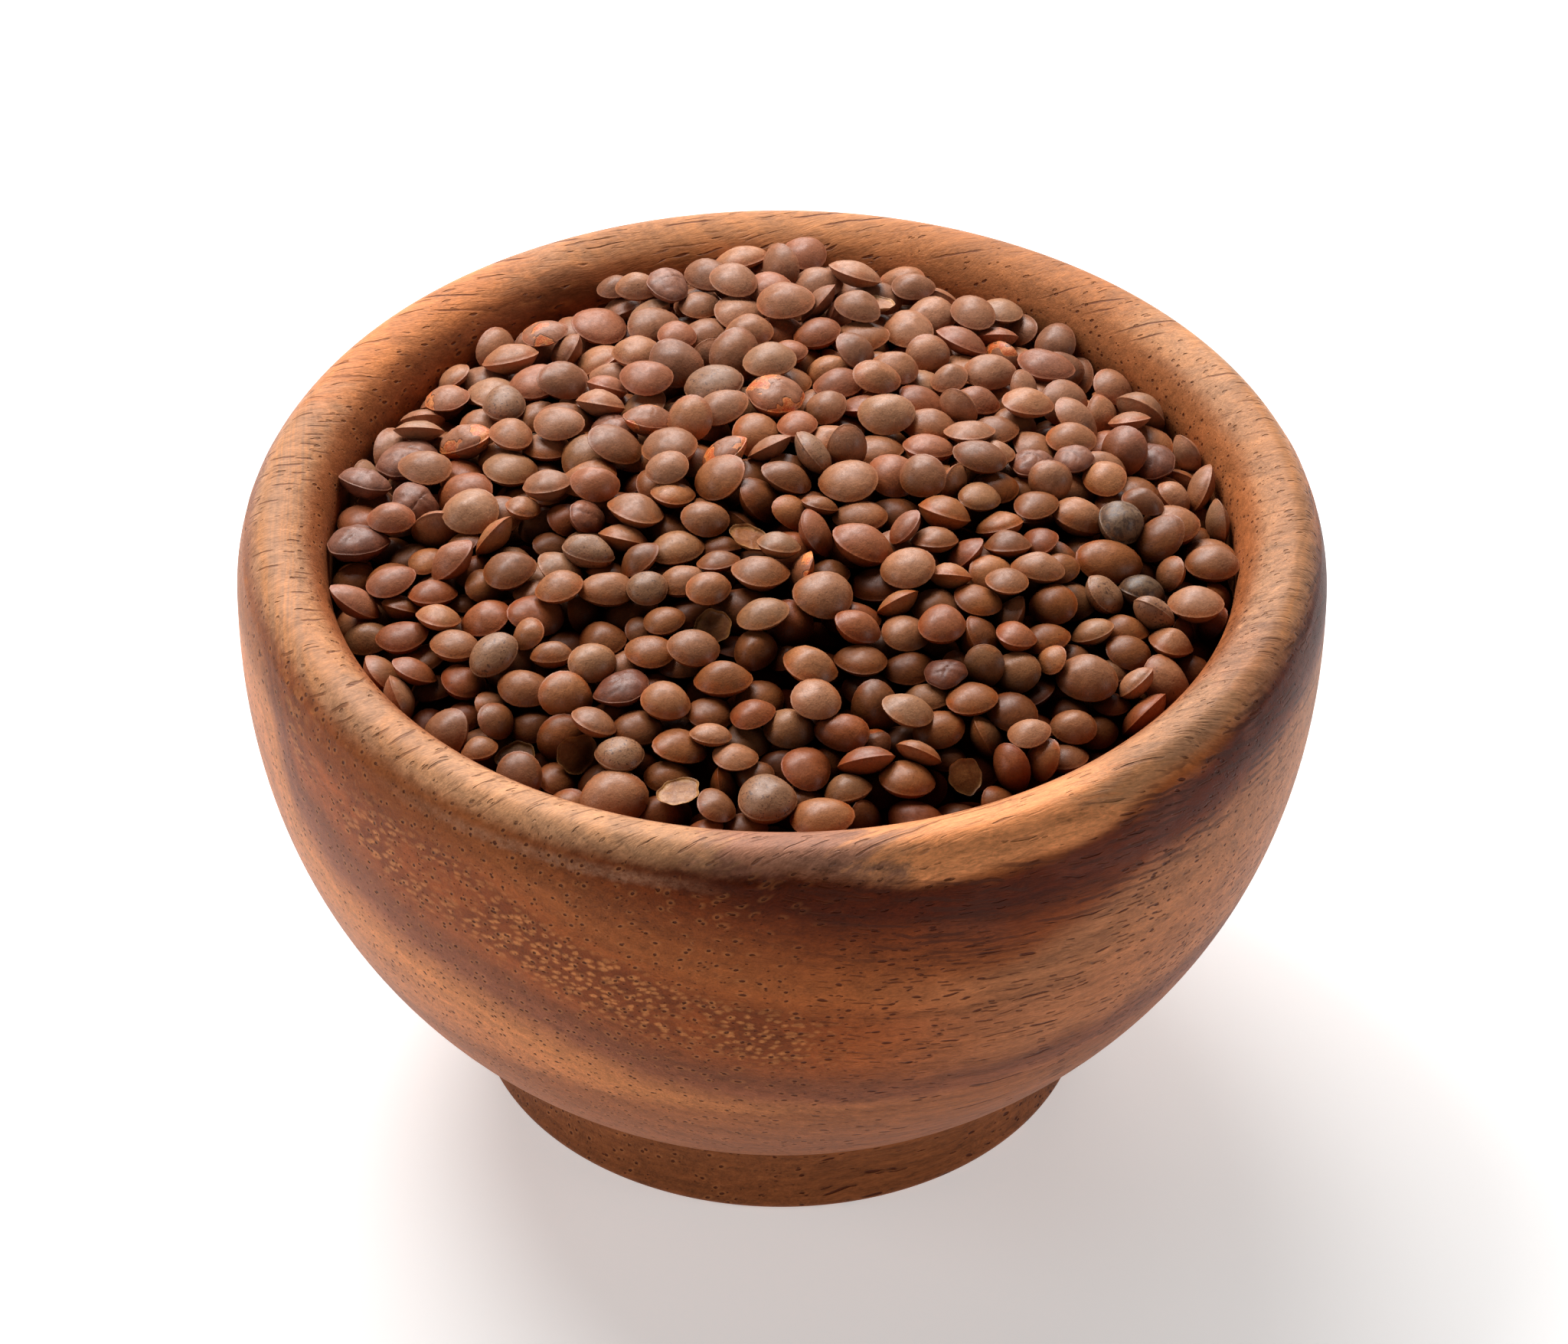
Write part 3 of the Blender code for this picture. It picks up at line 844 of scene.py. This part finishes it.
def lensPoints(shape, angle, reach, side):  # local points of the chosen lentils, in millimetres
    col = {key: value[:, None] for key, value in shape.items() if value.ndim == 1}
    first, second, third = [shape["lumpTurn"][:, i:i + 1] for i in range(3)]
    outline = 1 + col["tear"] * (0.5 + 0.5 * np.cos(angle)) ** 9
    outline = outline + col["lump"] * np.cos(3 * angle + first) + col["lump"] * np.cos(2 * angle + second)
    frill = np.cos(5 * angle + third) + np.cos(8 * angle + first) + np.cos(3 * angle + second)
    outline = outline - 0.6 * col["wrinkle"] * frill
    x = col["radius"] * reach * outline * np.cos(angle)
    y = col["radius"] * col["oval"] * reach * outline * np.sin(angle)
    foot, brim = lensForm["foot"], lensForm["brim"]
    cheek = brim + (1 - brim) * np.maximum(1 - (reach / foot) ** 2, 0) ** col["power"]
    edge = brim * np.sqrt(np.clip((1 - reach) / (1 - foot), 0, 1))
    crown = np.where(reach < foot, cheek, edge)
    crown = crown - (side > 0) * col["dish"] * crown**0.7  # an empty hull is hollow on top
    z = col["radius"] * col["thick"] * crown * side * (1 + col["lean"] * side)
    lumps = 1 + 1.6 * col["lump"] * np.cos(2.2 * x + third) * np.cos(1.9 * y + first)
    folds = 1 - 3.2 * col["wrinkle"] * creases(x, y, shape["lumpTurn"])
    return np.stack([x, y, z * lumps * folds], axis=2)


def creases(x, y, turns):  # 1 in the fold lines of a shrunken skin, 0 between them
    bend = 0.8 * np.sin(1.3 * y + turns[:, 1:2])
    first = np.abs(np.sin(1.9 * x + 0.8 * y + bend + turns[:, :1]))
    second = np.abs(np.sin(1.1 * x - 2.1 * y + bend + turns[:, 2:3]))
    return np.maximum((1 - first) ** 3, 0.8 * (1 - second) ** 3)


def smallTurns(vectors):  # rotation matrices from axis times angle
    angle = np.linalg.norm(vectors, axis=1)
    axis = vectors / np.maximum(angle, 1e-9)[:, None]
    cross = np.zeros((len(vectors), 3, 3))
    cross[:, 0, 1], cross[:, 0, 2] = -axis[:, 2], axis[:, 1]
    cross[:, 1, 0], cross[:, 1, 2] = axis[:, 2], -axis[:, 0]
    cross[:, 2, 0], cross[:, 2, 1] = -axis[:, 1], axis[:, 0]
    sine, cosine = np.sin(angle)[:, None, None], np.cos(angle)[:, None, None]
    return np.eye(3) + sine * cross + (1 - cosine) * (cross @ cross)


def gridPlace(h, half, values):  # the height map's rows or columns nearest to x or y
    return np.rint(values / h["cell"]).astype(int) + half


def layDown(h, f, x, y, rng):  # how a lentil starts: tilted a little, or its back against the wall
    tilt = rng.choice(h["tilts"], p=h["tiltShares"]) * rng.random()
    heading = rng.uniform(0, 2 * math.pi)
    leaning = math.hypot(x, y) > f["mouthRadius"] - h["wallReach"] and rng.random() < h["standing"]
    if leaning:
        tilt = rng.uniform(*h["standTilt"])
        heading = math.atan2(y, x) - math.pi / 2 + rng.uniform(-h["standTurn"], h["standTurn"])
    lean = smallTurns(np.array([[tilt * math.cos(heading), tilt * math.sin(heading), 0.0]]))[0]
    spin = smallTurns(np.array([[0.0, 0.0, rng.uniform(0, 2 * math.pi)]]))[0]
    return lean @ spin, leaning


def settle(h, touch, x, y, turn, leaning, surface, rng):  # let it wander and rock until it lies low
    top, half = surface
    lowest = 1e9
    reach = 1.0
    for _ in range(int(rng.integers(*h["rounds"]))):
        dx, dy = rng.normal(0, h["wander"] * reach, (2, h["tries"]))
        dx[0] = dy[0] = 0.0
        nudges = rng.normal(0, h["standRock" if leaning else "rock"] * reach, (h["tries"], 3))
        nudges[0] = 0.0
        candidates = smallTurns(nudges) @ turn
        points = touch @ candidates.transpose(0, 2, 1)
        ix = np.clip(gridPlace(h, half, points[..., 0] + (x + dx)[:, None]), 0, 2 * half)
        iy = np.clip(gridPlace(h, half, points[..., 1] + (y + dy)[:, None]), 0, 2 * half)
        rest = (top[ix, iy] - points[..., 2]).max(axis=1)
        best = int(rest.argmin())
        if rest[best] < lowest:
            lowest = rest[best]
            turn = candidates[best]
            x, y = x + dx[best], y + dy[best]
        reach *= h["calming"]
    return x, y, lowest, turn


def dropLentils(h, f, rng):
    half = int(round(h["mapReach"] / h["cell"]))
    axis = np.arange(-half, half + 1) * h["cell"]
    distance = np.hypot(axis[:, None], axis[None, :])
    goal = heapHeight(h, axis[:, None], axis[None, :])
    top = goal - h["coreDepth"]
    top = np.where(distance > f["mouthRadius"] - h["wallGap"] * 0.5, lipHeight(f, distance), top)
    shapes = drawShapes(lensForm, rng, h["most"])
    touchPattern, settledPattern = patternOf(*patterns["touch"]), patternOf(*patterns["settled"])
    places, turns, kept = [], [], []
    misses = 0
    for i in range(h["most"]):
        shape = {key: value[i:i + 1] for key, value in shapes.items()}
        touch = lensPoints(shape, *touchPattern[:3])[0]
        r = (f["mouthRadius"] - h["spotGap"]) * np.sqrt(rng.random(h["spots"]))
        a = rng.uniform(0, 2 * math.pi, h["spots"])
        gx, gy = gridPlace(h, half, r * np.cos(a)), gridPlace(h, half, r * np.sin(a))
        lack = goal[gx, gy] - top[gx, gy]
        pick = int(lack.argmax())
        if lack[pick] < h["tolerance"]:
            misses += 1
            if misses > h["misses"]:
                break
            continue
        x, y = axis[gx[pick]], axis[gy[pick]]
        turn, leaning = layDown(h, f, x, y, rng)
        x, y, lowest, turn = settle(h, touch, x, y, turn, leaning, (top, half), rng)
        full = lensPoints(shape, *settledPattern[:3])[0] @ turn.T
        highest = full[:, 2].max() + lowest
        if math.hypot(x, y) > f["mouthRadius"] or highest > heapHeight(h, x, y) + h["proud"]:
            misses += 1
            continue
        ix, iy = gridPlace(h, half, full[:, 0] + x), gridPlace(h, half, full[:, 1] + y)
        np.maximum.at(top, (ix, iy), full[:, 2] + lowest)
        places.append((x, y, lowest))
        turns.append(turn)
        kept.append(i)
    error = (top - goal)[distance < f["mouthRadius"] - 0.5].mean()
    print("dropped", len(kept), "lentils, surface off its goal by", round(float(error), 2))
    shapes = {key: value[kept] for key, value in shapes.items()}
    return np.array(places), np.array(turns), shapes, (top, half)


def softened(surface, reach):  # the surface's mean height over a square around each place
    for axis in (0, 1, 0, 1):
        padded = np.pad(surface, [(reach + 1, reach) if a == axis else (0, 0) for a in (0, 1)], mode="edge")
        total = padded.cumsum(axis=axis)
        width = 2 * reach + 1
        if axis == 0:
            surface = (total[width:] - total[:-width]) / width
        else:
            surface = (total[:, width:] - total[:, :-width]) / width
    return surface


def skinTints(dark, light, rim, **more):  # a kind's colours, and what else is its own
    return {"dark": tint(*dark), "light": tint(*light), "rim": tint(*rim), **more}


# What each plain kind of lentil looks like, and its share of the heap
lentilKinds = {
    "taupe": skinTints((144, 92, 60), (174, 117, 82), (156, 86, 44), share=0.32),
    "tawny": skinTints((146, 88, 51), (174, 112, 70), (162, 83, 38), share=0.24),
    "umber": skinTints((118, 69, 39), (148, 93, 57), (134, 70, 33), share=0.21),
    "russet": skinTints((132, 72, 41), (160, 92, 56), (146, 70, 33), share=0.14),
    "fawn": skinTints((142, 97, 65), (170, 118, 82), (156, 93, 52), share=0.09),
}

oddReach = 39.0  # odd lentils at random places lie within this radius
oddDepth = 1.5  # the higher, the more the topmost lentils are chosen

# The odd ones: where they lie on the heap, how many more there are, and how they differ
oddKinds = {
    "sooty": skinTints(
        (106, 82, 62), (126, 100, 78), (110, 78, 56), more=0,
        spots=[(33.8, -7.8), (30.5, 3.1), (-24.1, 14.6)],
        form={"thick": 0.66, "power": 0.56, "radius": 2.3},
        specks={"colour": tint(64, 46, 36), "share": 0.8, "perMm": 2.0, "from": 0.46, "to": 0.60},
    ),
    "speckled": skinTints(
        (136, 96, 68), (152, 109, 79), (146, 92, 60), more=9,
        spots=[(-17.9, -2.9), (-12.7, -12.3), (-25.0, -17.0)],
        form={"thick": 0.60, "power": 0.62},
        specks={"colour": tint(74, 46, 36), "share": 0.8, "perMm": 3.4, "from": 0.60, "to": 0.66},
    ),
    "chipped": skinTints(
        (138, 84, 55), (166, 106, 73), (156, 80, 42), more=3,
        spots=[(-13.6, 15.0), (-3.8, 6.8), (0.5, -10.3), (-30.2, 13.3), (-1.4, 18.3), (10.1, -29.8)],
        form={"wrinkle": 0.022},
        flesh={"colour": tint(206, 92, 32), "pale": tint(220, 138, 76), "perMm": 0.42,
               "from": 0.575, "to": 0.60, "border": 0.03},
    ),
    "wrinkled": skinTints(
        (116, 68, 50), (148, 94, 70), (130, 72, 48), more=7,
        spots=[(26.3, 9.3), (-38.4, -0.2), (-38.0, 8.8), (35.1, 11.6), (21.9, 10.1), (-14.5, -25.1),
               (11.6, -8.1), (-26.2, -9.2)],
        form={"wrinkle": 0.034, "power": 0.66},
        crease={"colour": tint(100, 58, 44), "share": 0.75},
    ),
    "hull": skinTints(
        (160, 100, 58), (186, 130, 80), (206, 156, 98), more=2,
        spots=[(10.8, 34.0), (-8.8, -37.5), (-5.1, -16.8), (-20.1, -29.3), (16.7, -33.4)],
        form={"dish": 1.2, "wrinkle": 0.05, "radius": 1.75},
        crease={"colour": tint(138, 80, 42), "share": 0.75},
    ),
}

# The finish that all the skins share
skinLook = {
    "cloud": (0.7, 3.0, 0.55),  # how fine each noise is per mm, its detail and its roughness
    "mottle": (2.0, 3.0, 0.65),
    "grit": (6.0, 2.0, 0.7),
    "rim": {"span": (0.70, 1.0), "share": 0.7, "ragged": 0.8},  # of the lentil's radius
    # painted highlight, a pale line along each lentil's brim
    "brimHighlight": {"colour": tint(190, 138, 100), "share": 0.16, "edges": (0.965, 0.975, 0.988, 0.996)},
    "dot": {"colour": tint(66, 36, 24), "share": 0.4, "noise": (2.9, 1.0), "span": (0.70, 0.76)},
    "paintedSheen": {"colour": tint(166, 132, 116), "share": 0.22, "depth": (-2.4, 0.4)},  # painted sheen, paler on skins that lie open to the light
    "warm": {"colour": tint(255, 226, 190), "share": 0.5, "depth": (-1.0, 1.4)},  # painted warm shade between the skins
    # painted shade, near black, deep in the gaps
    "gap": {"colour": tint(36, 10, 4), "share": 0.97},
    "tone": {"cloud": 0.50, "mottle": 0.50, "grit": 0.70},
    "relief": {"cloud": 1.2, "mottle": 0.9, "grit": 0.6, "flesh": 2.0, "depth": 0.00007},
    "coat": (0.50, 0.8),  # plain, and how much the mottling changes it
}


def makeSkin(name, kind):
    look = skinLook
    skin = Bench(name, Roughness=0.62, Specular_IOR_Level=0.0, Coat_Roughness=0.40, Coat_IOR=1.6)
    spot = skin.reading("spot", "Vector")
    rim = skin.reading("rim")
    cloud, mottle, grit = [skin.drift(spot, look[noise]) for noise in ("cloud", "mottle", "grit")]
    colour = skin.mix(skin.reading("tone"), kind["dark"], kind["light"])
    edge = skin.step(rim + cloud * look["rim"]["ragged"], *look["rim"]["span"])
    colour = skin.mix(edge * look["rim"]["share"], colour, kind["rim"])
    # painted highlight along the brim
    start, full, fade, end = look["brimHighlight"]["edges"]
    brimHighlight = skin.step(rim + grit * 0.02, start, full) * (1 - skin.step(rim, fade, end))
    colour = skin.laid(colour, brimHighlight, look["brimHighlight"])
    dot = skin.step(skin.noise(spot, *look["dot"]["noise"]), *look["dot"]["span"])
    colour = skin.laid(colour, dot, look["dot"])
    r = look["relief"]
    relief = cloud * r["cloud"] + mottle * r["mottle"] + grit * r["grit"]
    if "specks" in kind:
        speck = kind["specks"]
        mask = skin.noise(spot, speck["perMm"], 2.0, 0.6) + cloud * 0.3
        colour = skin.laid(colour, skin.step(mask, speck["from"], speck["to"]), speck)
    if "flesh" in kind:
        flesh = kind["flesh"]
        patch = skin.noise(spot, flesh["perMm"], 2.0) + mottle * 0.10 + skin.step(rim, 0.2, 0.9) * 0.05
        mask = skin.step(patch, flesh["from"], flesh["to"])
        border = mask * (1 - skin.step(patch, flesh["to"], flesh["to"] + flesh["border"]))
        bare = skin.mix(skin.step(cloud + grit, -0.05, 0.2), flesh["colour"], flesh["pale"])
        colour = skin.mix(mask, colour, skin.mix(border * 0.7, bare, flesh["pale"]))
        relief = relief - mask * r["flesh"]
    # painted shade in the fold lines of a shrunken skin
    if "crease" in kind:
        colour = skin.laid(colour, skin.reading("fold"), kind["crease"])

    # Painted sheen: skins are paler where they lie open to the light. Painted shade: they darken and turn
    # warmer towards the gaps between them
    sunk = skin.reading("deep")
    colour = skin.laid(colour, 1 - skin.step(sunk, *look["paintedSheen"]["depth"]), look["paintedSheen"])
    # painted shade, darker and warmer deeper between the skins
    colour = skin.laid(colour, skin.step(sunk, *look["warm"]["depth"]), look["warm"], "MULTIPLY")
    t = look["tone"]
    colour = skin.scaled(colour, 1 + cloud * t["cloud"] + mottle * t["mottle"] + grit * t["grit"])
    # painted shade towards the gaps between the skins
    deep = skin.step(sunk, heapForm["shadeFrom"], heapForm["shadeTo"])
    colour = skin.laid(colour, deep, look["gap"])
    plain, uneven = look["coat"]
    return skin.finish(Base_Color=colour, Coat_Weight=(plain + mottle * uneven) * (1 - deep),
                       Normal=skin.bump(relief, r["depth"]))


def pickOdd(places, tops, rng):  # the nearest lentil on top of the heap for each odd one
    chosen = {}
    free = np.ones(len(places), bool)
    for name, kind in oddKinds.items():
        spots = list(kind["spots"])
        for _ in range(kind["more"]):
            reach, turn = oddReach * math.sqrt(rng.random()), rng.uniform(0, 2 * math.pi)
            spots.append((reach * math.cos(turn), reach * math.sin(turn)))
        picked = []
        for x, y in spots:
            far = np.hypot(places[:, 0] - x, places[:, 1] - y) + oddDepth * tops
            nearest = int(np.where(free, far, np.inf).argmin())
            free[nearest] = False
            picked.append(nearest)
        chosen[name] = np.array(picked)
    return chosen, free


def makeHeap(h, f):
    rng = np.random.default_rng(h["seed"])
    places, turns, shapes, (top, half) = dropLentils(h, f, rng)
    axis = np.arange(-half, half + 1) * h["cell"]
    goal = heapHeight(h, axis[:, None], axis[None, :])
    inside = np.hypot(axis[:, None], axis[None, :]) < f["mouthRadius"] - h["wallGap"]
    mean = softened(np.where(inside, top, goal), int(round(h["shadeBlur"] / h["cell"])))
    count = len(places)
    buried = top[gridPlace(h, half, places[:, 0]), gridPlace(h, half, places[:, 1])] - places[:, 2]
    tone = rng.random(count)
    offset = rng.uniform(0, 400, (count, 1, 3))
    odd, plain = pickOdd(places, np.maximum(buried - 1.0, 0), rng)
    heap = {"places": places, "turns": turns, "tone": tone, "offset": offset, "mean": mean, "half": half}
    draw = rng.random(count)
    low = 0.0
    for name, kind in lentilKinds.items():
        chosen = np.nonzero(plain & (draw >= low) & (draw < low + kind["share"]))[0]
        low += kind["share"]
        joinLentils("lentils_" + name, chosen, shapes, heap, "plain", makeSkin(name + "Skin", kind))
    for name, kind in oddKinds.items():
        chosen = odd[name]
        for key, value in kind["form"].items():
            shapes[key][chosen] = value * rng.uniform(0.88, 1.12, len(chosen))
        joinLentils("lentils_" + name, chosen, shapes, heap, "odd", makeSkin(name + "Skin", kind))
    makeCore(coreForm, h, f)


def joinLentils(name, chosen, shapes, heap, pattern, material):
    angle, reach, side, triangles = patternOf(*patterns[pattern])
    own = {key: value[chosen] for key, value in shapes.items()}
    local = lensPoints(own, angle, reach, side)
    points = np.einsum("nij,nvj->nvi", heap["turns"][chosen], local) + heap["places"][chosen][:, None, :]
    size = points.shape[1]
    shifts = np.arange(len(chosen))[:, None, None] * size
    folds = creases(local[..., 0], local[..., 1], own["lumpTurn"]) * (own["wrinkle"][:, None] > 0.02)
    # how deep each point lies under the mean surface towards the light; the skins' painted sheen and shade
    # follow it
    toLight = points[..., :2] + np.array(heapForm["shadeReach"])
    seen = np.clip(gridPlace(heapForm, heap["half"], toLight), 0, 2 * heap["half"])
    deep = heap["mean"][seen[..., 0], seen[..., 1]] - points[..., 2]
    readings = {
        "deep": (deep - heapForm["shadeEase"] * np.maximum(points[..., 1], 0)).ravel(),
        "spot": (local + heap["offset"][chosen]).reshape(-1, 3),
        "tone": np.repeat(heap["tone"][chosen], size),
        "rim": np.tile(reach, len(chosen)),
        "fold": folds.ravel(),
    }
    faces = (triangles[None] + shifts).reshape(-1, 3)
    piece = keepMesh(name, points.reshape(-1, 3), faces, material, readings)
    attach(piece, "root")
    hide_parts("lentils")
    print(name, len(chosen), "lentils", len(faces), "triangles")


def makeCore(c, h, f):
    sides = c["sides"]
    turn = np.arange(sides) / sides * 2 * math.pi
    reach = f["mouthRadius"] - h["wallGap"]
    points = []
    for share in np.linspace(0, 1, c["rings"])[1:]:
        x, y = reach * share * np.cos(turn), reach * share * np.sin(turn)
        points.append(np.stack([x, y, heapHeight(h, x, y) - h["coreDepth"]], 1))
    depth = c["shoulder"] - c["bottom"]
    for share in c["under"]:
        x, y = reach * share * np.cos(turn), reach * share * np.sin(turn)
        points.append(np.stack([x, y, np.full(sides, c["shoulder"] - depth * (1 - share))], 1))
    rows = len(points)
    middle = heapHeight(h, 0.0, 0.0) - h["coreDepth"]
    points.append(np.array([[0.0, 0.0, middle], [0.0, 0.0, c["bottom"]]]))
    faces = turnedFaces(rows, sides, 0, rows * sides, rows * sides + 1)
    # painted shade: a dark, matt skin where deeper lentils would lie in shade
    shadow = Bench("coreShadow", Roughness=0.9, Specular_IOR_Level=0.0)
    piece = keepMesh("lentil_shade_core", np.concatenate(points), faces, shadow.finish(Base_Color=c["colour"]))
    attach(piece, "root")
    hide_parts("lentils")


bpy.context.scene.view_settings.view_transform = "Standard"
placeCamera(cameraView)
lightStudio(studio)
print("camera, light and floor are in place")
makeBowl(bowlForm, makeWood(woodGrain))
print("bowl is turned")
makeHeap(heapForm, bowlForm)
print("lentils are heaped")
